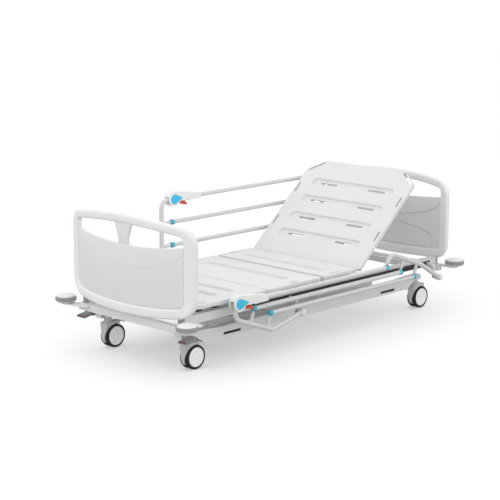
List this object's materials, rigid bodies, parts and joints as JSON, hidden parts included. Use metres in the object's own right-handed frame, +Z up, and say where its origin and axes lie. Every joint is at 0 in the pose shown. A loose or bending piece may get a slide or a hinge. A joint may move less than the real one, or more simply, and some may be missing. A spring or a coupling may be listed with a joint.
{
  "type": "adjustable hospital bed",
  "caption": "Hospital bed with a raising backrest, a jointed sleeping surface, a parallelogram height lift, collapsible side rails and braked twin-wheel castors.",
  "frame": {"origin": "on the floor, midway between the end bumpers and between the side rails", "axes": "+X toward the head end, +Y toward the patient's left side, +Z up"},
  "size_m": [2.219, 1.013, 0.8044],
  "materials": {
    "white_steel": "white powder coat",
    "white_plastic": "moulded, fine texture",
    "board_white": "moulded, satin",
    "latch_white": "moulded, satin gloss",
    "grey_plastic": "moulded grey nylon",
    "dark_plastic": "moulded, black",
    "wheel_disc": "moulded light grey disc",
    "tyre": "black polyurethane tread",
    "button_blue": "moulded light blue",
    "lever_orange": "moulded orange red",
    "bare_steel": "bright zinc plated"
  },
  "bodies": {
    "base": {"base_frame": "white_steel"},
    "brake_right": {"brake_shaft_right": "bare_steel", "brake_pedal_right": "grey_plastic"},
    "brake_left": {"brake_shaft_left": "bare_steel", "brake_pedal_left": "grey_plastic"},
    "caster_foot_right": {"caster_housing_foot_right": "grey_plastic"},
    "caster_wheels_foot_right": {"caster_hub_foot_right": "wheel_disc", "caster_tyre_foot_right_inner": "tyre", "caster_tyre_foot_right_outer": "tyre"},
    "caster_foot_left": {"caster_housing_foot_left": "grey_plastic"},
    "caster_wheels_foot_left": {"caster_hub_foot_left": "wheel_disc", "caster_tyre_foot_left_inner": "tyre", "caster_tyre_foot_left_outer": "tyre"},
    "caster_head_right": {"caster_housing_head_right": "grey_plastic"},
    "caster_wheels_head_right": {"caster_hub_head_right": "wheel_disc", "caster_tyre_head_right_inner": "tyre", "caster_tyre_head_right_outer": "tyre"},
    "caster_head_left": {"caster_housing_head_left": "grey_plastic"},
    "caster_wheels_head_left": {"caster_hub_head_left": "wheel_disc", "caster_tyre_head_left_inner": "tyre", "caster_tyre_head_left_outer": "tyre"},
    "lift_arm_foot": {"lift_arm_foot": "white_steel"},
    "lift_arm_head": {"lift_arm_head": "white_steel"},
    "carrier": {"upper_frame": "white_steel", "end_beam_foot": "white_steel", "end_beam_head": "white_steel", "rail_carrier_left": "dark_plastic", "rail_carrier_right": "dark_plastic", "seat_panel": "white_plastic", "control_box": "dark_plastic"},
    "backrest": {"backrest_panel": "white_plastic", "backrest_frame": "white_steel"},
    "thigh": {"thigh_panel": "white_plastic", "thigh_frame": "white_steel"},
    "calf": {"calf_panel": "white_plastic", "calf_frame": "white_steel"},
    "footboard": {"footboard_frame": "board_white", "footboard_panel": "board_white"},
    "headboard": {"headboard_frame": "board_white", "headboard_panel": "board_white"},
    "bumper_foot_right": {"bumper_roller_foot_right": "grey_plastic"},
    "bumper_foot_left": {"bumper_roller_foot_left": "grey_plastic"},
    "bumper_head_right": {"bumper_roller_head_right": "grey_plastic"},
    "bumper_head_left": {"bumper_roller_head_left": "grey_plastic"},
    "rail_post_foot_right": {"rail_post_foot_right": "white_steel"},
    "rail_post_head_right": {"rail_post_head_right": "white_steel"},
    "rail_bar_right_1": {"rail_bar_right_1": "white_steel", "latch_housing_right": "latch_white"},
    "latch_button_right": {"latch_button_right": "button_blue"},
    "latch_lever_right": {"latch_lever_right": "lever_orange"},
    "rail_bar_right_2": {"rail_bar_right_2": "white_steel"},
    "rail_bar_right_3": {"rail_bar_right_3": "white_steel"},
    "rail_post_foot_left": {"rail_post_foot_left": "white_steel"},
    "rail_post_head_left": {"rail_post_head_left": "white_steel"},
    "rail_bar_left_1": {"rail_bar_left_1": "white_steel", "latch_housing_left": "latch_white"},
    "latch_button_left": {"latch_button_left": "button_blue"},
    "latch_lever_left": {"latch_lever_left": "lever_orange"},
    "rail_bar_left_2": {"rail_bar_left_2": "white_steel"},
    "rail_bar_left_3": {"rail_bar_left_3": "white_steel"}
  },
  "joints": [
    {"name": "brake_turn_right", "type": "hinge", "parent": "base", "child": "brake_right", "pos_m": [-0.955, -0.3, 0.1825], "axis": [0, 1, 0], "range_deg": [-15, 15]},
    {"name": "brake_turn_left", "type": "hinge", "parent": "base", "child": "brake_left", "pos_m": [-0.955, 0.3, 0.1825], "axis": [0, 1, 0], "range_deg": [-15, 15]},
    {"name": "caster_swivel_foot_right", "type": "hinge", "parent": "base", "child": "caster_foot_right", "pos_m": [-0.908, -0.3, 0.141], "axis": [0, 0, 1], "continuous": true},
    {"name": "caster_roll_foot_right", "type": "hinge", "parent": "caster_foot_right", "child": "caster_wheels_foot_right", "pos_m": [-0.874, -0.3, 0.0625], "axis": [0, 1, 0], "continuous": true},
    {"name": "caster_swivel_foot_left", "type": "hinge", "parent": "base", "child": "caster_foot_left", "pos_m": [-0.908, 0.3, 0.141], "axis": [0, 0, 1], "continuous": true},
    {"name": "caster_roll_foot_left", "type": "hinge", "parent": "caster_foot_left", "child": "caster_wheels_foot_left", "pos_m": [-0.874, 0.3, 0.0625], "axis": [0, 1, 0], "continuous": true},
    {"name": "caster_swivel_head_right", "type": "hinge", "parent": "base", "child": "caster_head_right", "pos_m": [0.884, -0.3, 0.141], "axis": [0, 0, 1], "continuous": true},
    {"name": "caster_roll_head_right", "type": "hinge", "parent": "caster_head_right", "child": "caster_wheels_head_right", "pos_m": [0.918, -0.3, 0.0625], "axis": [0, 1, 0], "continuous": true},
    {"name": "caster_swivel_head_left", "type": "hinge", "parent": "base", "child": "caster_head_left", "pos_m": [0.884, 0.3, 0.141], "axis": [0, 0, 1], "continuous": true},
    {"name": "caster_roll_head_left", "type": "hinge", "parent": "caster_head_left", "child": "caster_wheels_head_left", "pos_m": [0.918, 0.3, 0.0625], "axis": [0, 1, 0], "continuous": true},
    {"name": "height_lift", "type": "hinge", "parent": "base", "child": "lift_arm_foot", "pos_m": [-0.26, 0, 0.162], "axis": [0, 1, 0], "range_deg": [0, 63]},
    {"name": "height_lift_level", "type": "hinge", "parent": "lift_arm_foot", "child": "carrier", "pos_m": [-0.72886, 0, 0.19479], "axis": [0, 1, 0], "range_deg": [-63, 0]},
    {"name": "height_lift_head", "type": "hinge", "parent": "base", "child": "lift_arm_head", "pos_m": [0.56, 0, 0.162], "axis": [0, 1, 0], "range_deg": [0, 63]},
    {"name": "backrest_tilt", "type": "hinge", "parent": "carrier", "child": "backrest", "pos_m": [0.297, 0, 0.31], "axis": [0, -1, 0], "range_deg": [-42, 28]},
    {"name": "thigh_tilt", "type": "hinge", "parent": "carrier", "child": "thigh", "pos_m": [-0.03, 0, 0.31], "axis": [0, 1, 0], "range_deg": [0, 35]},
    {"name": "calf_tilt", "type": "hinge", "parent": "thigh", "child": "calf", "pos_m": [-0.44, 0, 0.31], "axis": [0, 1, 0], "range_deg": [-63.7, 0]},
    {"name": "footboard_lift", "type": "slide", "parent": "carrier", "child": "footboard", "axis": [0, 0, 1], "range_m": [0, 0.06]},
    {"name": "headboard_lift", "type": "slide", "parent": "carrier", "child": "headboard", "axis": [0, 0, 1], "range_m": [0, 0.06]},
    {"name": "bumper_spin_foot_right", "type": "hinge", "parent": "carrier", "child": "bumper_foot_right", "pos_m": [-1.057, -0.454, 0.268], "axis": [0, 0, 1], "continuous": true},
    {"name": "bumper_spin_foot_left", "type": "hinge", "parent": "carrier", "child": "bumper_foot_left", "pos_m": [-1.057, 0.454, 0.268], "axis": [0, 0, 1], "continuous": true},
    {"name": "bumper_spin_head_right", "type": "hinge", "parent": "carrier", "child": "bumper_head_right", "pos_m": [1.057, -0.454, 0.268], "axis": [0, 0, 1], "continuous": true},
    {"name": "bumper_spin_head_left", "type": "hinge", "parent": "carrier", "child": "bumper_head_left", "pos_m": [1.057, 0.454, 0.268], "axis": [0, 0, 1], "continuous": true},
    {"name": "rail_fold_right", "type": "hinge", "parent": "carrier", "child": "rail_post_foot_right", "pos_m": [-0.25, -0.46, 0.2045], "axis": [0, 1, 0], "range_deg": [0, 69.6]},
    {"name": "rail_fold_right_head", "type": "hinge", "parent": "carrier", "child": "rail_post_head_right", "pos_m": [0.902, -0.46, 0.2045], "axis": [0, 1, 0], "range_deg": [0, 69.6]},
    {"name": "rail_bar_level_right_1", "type": "hinge", "parent": "rail_post_foot_right", "child": "rail_bar_right_1", "pos_m": [-0.72062, -0.46, 0.33044], "axis": [0, 1, 0], "range_deg": [-69.6, 0]},
    {"name": "latch_button_press_right", "type": "slide", "parent": "rail_bar_right_1", "child": "latch_button_right", "axis": [0, 1, 0], "range_m": [0, 0.004], "stiffness_N_per_m": 400},
    {"name": "latch_lever_pull_right", "type": "hinge", "parent": "rail_bar_right_1", "child": "latch_lever_right", "pos_m": [-0.69262, -0.46, 0.30694], "axis": [0, -1, 0], "range_deg": [0, 8], "stiffness_Nm_per_rad": 0.8},
    {"name": "rail_bar_level_right_2", "type": "hinge", "parent": "rail_post_foot_right", "child": "rail_bar_right_2", "pos_m": [-0.60064, -0.46, 0.28582], "axis": [0, 1, 0], "range_deg": [-69.6, 0]},
    {"name": "rail_bar_level_right_3", "type": "hinge", "parent": "rail_post_foot_right", "child": "rail_bar_right_3", "pos_m": [-0.48067, -0.46, 0.24121], "axis": [0, 1, 0], "range_deg": [-69.6, 0]},
    {"name": "rail_fold_left", "type": "hinge", "parent": "carrier", "child": "rail_post_foot_left", "pos_m": [-0.25, 0.46, 0.2045], "axis": [0, 1, 0], "range_deg": [-69.6, 0]},
    {"name": "rail_fold_left_head", "type": "hinge", "parent": "carrier", "child": "rail_post_head_left", "pos_m": [0.902, 0.46, 0.2045], "axis": [0, 1, 0], "range_deg": [-69.6, 0]},
    {"name": "rail_bar_level_left_1", "type": "hinge", "parent": "rail_post_foot_left", "child": "rail_bar_left_1", "pos_m": [-0.296, 0.46, 0.6895], "axis": [0, 1, 0], "range_deg": [0, 69.6]},
    {"name": "latch_button_press_left", "type": "slide", "parent": "rail_bar_left_1", "child": "latch_button_left", "axis": [0, -1, 0], "range_m": [0, 0.004], "stiffness_N_per_m": 400},
    {"name": "latch_lever_pull_left", "type": "hinge", "parent": "rail_bar_left_1", "child": "latch_lever_left", "pos_m": [-0.268, 0.46, 0.666], "axis": [0, -1, 0], "range_deg": [0, 8], "stiffness_Nm_per_rad": 0.8},
    {"name": "rail_bar_level_left_2", "type": "hinge", "parent": "rail_post_foot_left", "child": "rail_bar_left_2", "pos_m": [-0.296, 0.46, 0.5615], "axis": [0, 1, 0], "range_deg": [0, 69.6]},
    {"name": "rail_bar_level_left_3", "type": "hinge", "parent": "rail_post_foot_left", "child": "rail_bar_left_3", "pos_m": [-0.296, 0.46, 0.4335], "axis": [0, 1, 0], "range_deg": [0, 69.6]}
  ],
  "couplings": [
    {"joint": "brake_turn_left", "follows": "brake_turn_right", "ratio": 1},
    {"joint": "height_lift_level", "follows": "height_lift", "ratio": -1},
    {"joint": "height_lift_head", "follows": "height_lift", "ratio": 1},
    {"joint": "calf_tilt", "follows": "thigh_tilt", "ratio": -1.82},
    {"joint": "rail_fold_right_head", "follows": "rail_fold_right", "ratio": 1},
    {"joint": "rail_bar_level_right_1", "follows": "rail_fold_right", "ratio": -1},
    {"joint": "rail_bar_level_right_2", "follows": "rail_fold_right", "ratio": -1},
    {"joint": "rail_bar_level_right_3", "follows": "rail_fold_right", "ratio": -1},
    {"joint": "rail_fold_left_head", "follows": "rail_fold_left", "ratio": 1},
    {"joint": "rail_bar_level_left_1", "follows": "rail_fold_left", "ratio": -1},
    {"joint": "rail_bar_level_left_2", "follows": "rail_fold_left", "ratio": -1},
    {"joint": "rail_bar_level_left_3", "follows": "rail_fold_left", "ratio": -1}
  ]
}
